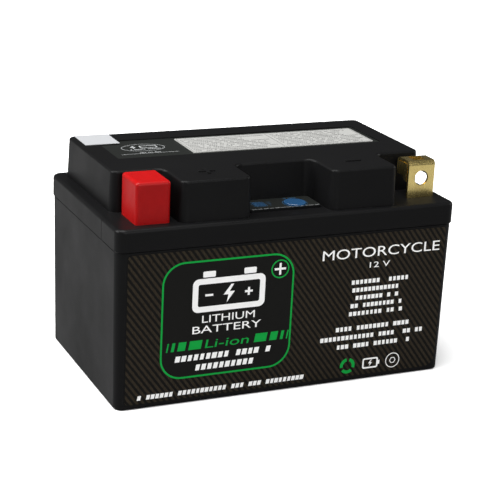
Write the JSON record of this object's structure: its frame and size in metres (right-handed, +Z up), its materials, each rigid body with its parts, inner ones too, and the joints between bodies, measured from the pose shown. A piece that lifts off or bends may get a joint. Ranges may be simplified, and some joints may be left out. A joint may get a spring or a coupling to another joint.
{
  "type": "motorcycle battery",
  "caption": "Small rectangular lithium motorcycle battery with a raised stepped lid, capped positive terminal, folded brass terminal and a test button.",
  "frame": {"origin": "centre of the underside of the case", "axes": "+X along the case's length towards the negative terminal, +Y across its width towards the back, +Z up"},
  "size_m": [0.15, 0.087, 0.093],
  "materials": {
    "case_plastic": "satin",
    "carbon_label": "satin",
    "dark_label": "satin",
    "silver_film": "satin",
    "white_paper": "matte",
    "brass": "satin",
    "potting": "gloss",
    "red_vinyl": "satin",
    "blue_button": "satin",
    "black_plastic": "matte",
    "white_plastic": "satin",
    "blue_window": "gloss",
    "led_body": "gloss",
    "circuit_board": "satin",
    "zinc_steel": "satin",
    "grey_cable": "satin",
    "insulator_paper": "matte",
    "holder_plastic": "satin",
    "nickel": "satin",
    "red_silicone": "satin",
    "black_silicone": "satin",
    "tinned_copper": "satin",
    "grey_foam": "matte",
    "cell_steel": "satin",
    "blue_sleeve": "satin"
  },
  "bodies": {
    "root": {"container": "case_plastic", "lid": "case_plastic", "front_label": "carbon_label", "top_label": "dark_label", "info_plate": "silver_film", "corner_sticker": "white_paper", "indicator_overlay": "dark_label", "positive_terminal": "brass", "negative_terminal": "brass", "terminal_seals": "potting", "test_switch": "black_plastic", "indicator_window": "blue_window", "indicator_leds": "led_body", "indicator_board": "circuit_board", "indicator_screws": "zinc_steel", "indicator_ribbon": "grey_cable", "cell_insulators": "insulator_paper", "lower_cell_holder": "holder_plastic", "upper_cell_holder": "holder_plastic", "positive_bus": "nickel", "negative_bus": "nickel", "top_link": "nickel", "bottom_link_left": "nickel", "bottom_link_right": "nickel", "positive_lead": "red_silicone", "negative_lead": "black_silicone", "positive_lead_lugs": "tinned_copper", "negative_lead_lugs": "tinned_copper", "lug_bolts": "zinc_steel", "lug_nuts": "zinc_steel", "balance_board": "circuit_board", "bleed_resistors": "black_plastic", "balance_chips": "black_plastic", "ribbon_connector": "white_plastic", "board_screws": "zinc_steel", "base_pad": "grey_foam", "front_pad": "grey_foam", "left_end_pad": "grey_foam", "right_end_pad": "grey_foam", "cell_1": "cell_steel", "cell_2": "cell_steel", "cell_3": "cell_steel", "cell_4": "cell_steel", "cell_5": "cell_steel", "cell_6": "cell_steel", "cell_7": "cell_steel", "cell_8": "cell_steel", "cell_sleeve_1": "blue_sleeve", "cell_sleeve_2": "blue_sleeve", "cell_sleeve_3": "blue_sleeve", "cell_sleeve_4": "blue_sleeve", "cell_sleeve_5": "blue_sleeve", "cell_sleeve_6": "blue_sleeve", "cell_sleeve_7": "blue_sleeve", "cell_sleeve_8": "blue_sleeve"},
    "positive_cap": {"positive_cap": "red_vinyl"},
    "test_button": {"test_button": "blue_button", "switch_stem": "black_plastic"}
  },
  "joints": [
    {"name": "cap_lift", "type": "slide", "parent": "root", "child": "positive_cap", "axis": [0, 0, 1], "range_m": [0, 0.03]},
    {"name": "button_press", "type": "slide", "parent": "root", "child": "test_button", "axis": [0, 0, -1], "range_m": [0, 0.0005], "stiffness_N_per_m": 2000}
  ]
}
